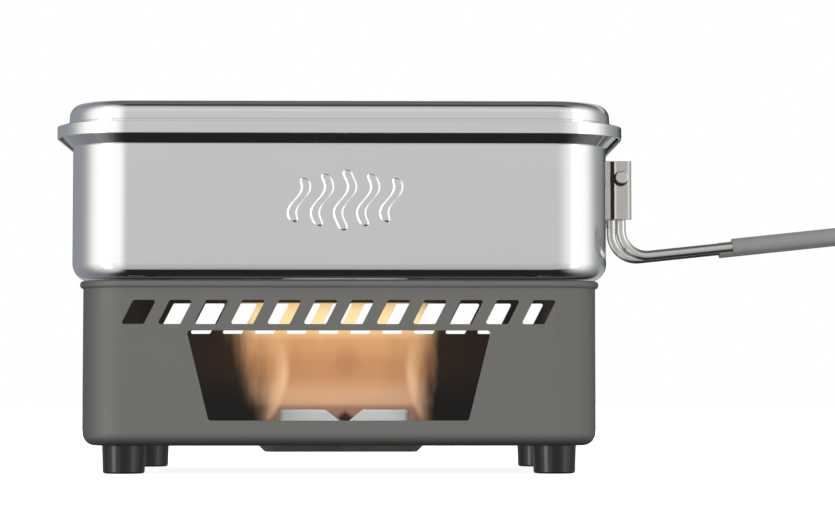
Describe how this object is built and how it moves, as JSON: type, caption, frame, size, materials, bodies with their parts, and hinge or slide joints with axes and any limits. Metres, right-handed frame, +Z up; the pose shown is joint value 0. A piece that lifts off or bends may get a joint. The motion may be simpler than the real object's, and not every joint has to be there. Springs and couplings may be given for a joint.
{
  "type": "camping stove",
  "caption": "Solid-fuel camping cook set: vented box stove on rubber feet, rectangular pot with lid and a wire handle that folds over the lid.",
  "frame": {"origin": "on the ground, under the middle of the stove's footprint", "axes": "+X towards the side with the handle, -Y towards the front with the fuel opening, +Z up"},
  "size_m": [0.3382, 0.1372, 0.1203],
  "materials": {
    "stove_coating": "hard anodised, matte dark grey",
    "tray_metal": "hard anodised, matte dark grey",
    "fuel": "pressed chalky block",
    "foot_rubber": "satin black rubber",
    "fastener_steel": "plain steel",
    "polished_steel": "polished stainless steel",
    "bracket_steel": "satin stainless steel",
    "wire_steel": "drawn stainless wire",
    "sleeve_silicone": "matte grey silicone"
  },
  "bodies": {
    "stove": {"stove_body": "stove_coating", "foot_front_left": "foot_rubber", "foot_front_right": "foot_rubber", "foot_rear_left": "foot_rubber", "foot_rear_right": "foot_rubber", "foot_rivets": "fastener_steel", "foot_washers": "fastener_steel"},
    "tray": {"fuel_tray": "tray_metal"},
    "tablet": {"fuel_tablet": "fuel"},
    "pot": {"pot_body": "polished_steel", "handle_bracket": "bracket_steel"},
    "handle": {"handle_wire": "wire_steel", "handle_sleeve": "sleeve_silicone"},
    "lid": {"lid": "polished_steel"}
  },
  "joints": [
    {"name": "pot_lift", "type": "slide", "parent": "stove", "child": "pot", "axis": [0, 0, 1], "range_m": [0, 0.1]},
    {"name": "lid_lift", "type": "slide", "parent": "pot", "child": "lid", "axis": [0, 0, 1], "range_m": [0, 0.06]},
    {"name": "handle_fold", "type": "hinge", "parent": "pot", "child": "handle", "pos_m": [0.0949, 0, 0.0989], "axis": [0, 1, 0], "range_deg": [-174, 0]},
    {"name": "tray_lift", "type": "slide", "parent": "stove", "child": "tray", "axis": [0, 0, 1], "range_m": [0, 0.03]},
    {"name": "tablet_lift", "type": "slide", "parent": "tray", "child": "tablet", "axis": [0, 0, 1], "range_m": [0, 0.01]}
  ]
}
